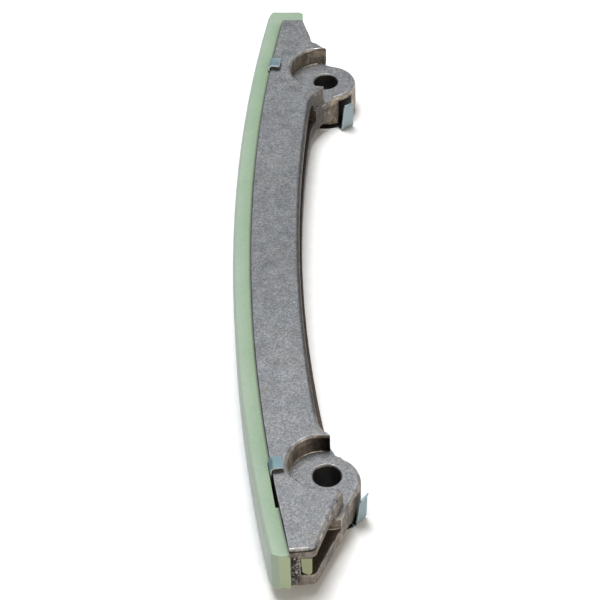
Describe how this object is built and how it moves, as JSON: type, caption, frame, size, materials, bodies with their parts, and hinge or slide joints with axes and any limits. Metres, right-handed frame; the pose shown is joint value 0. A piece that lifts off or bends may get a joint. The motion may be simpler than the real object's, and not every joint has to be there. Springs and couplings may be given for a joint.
{
  "type": "timing chain guide",
  "caption": "Curved die-cast chain guide with bolt bosses at both ends, a moulded plastic sliding shoe on its convex side and spring clips that hold it.",
  "frame": {"origin": "axis of the lower bolt hole, at the back face of its boss", "axes": "+Z along the bolt axes towards the front with the spot faces, +Y along the guide from the lower to the upper bolt hole, -X towards the sliding shoe"},
  "size_m": [0.0434, 0.2668, 0.0222],
  "materials": {
    "cast_aluminium": "as cast, lightly tumbled, worn bright at edges",
    "green_nylon": "moulded, satin, slightly translucent pale green",
    "plated_steel": "bright zinc plated spring steel"
  },
  "bodies": {
    "root": {"guide_body": "cast_aluminium", "chain_shoe": "green_nylon", "upper_clip": "plated_steel", "lower_clip": "plated_steel"}
  },
  "joints": []
}
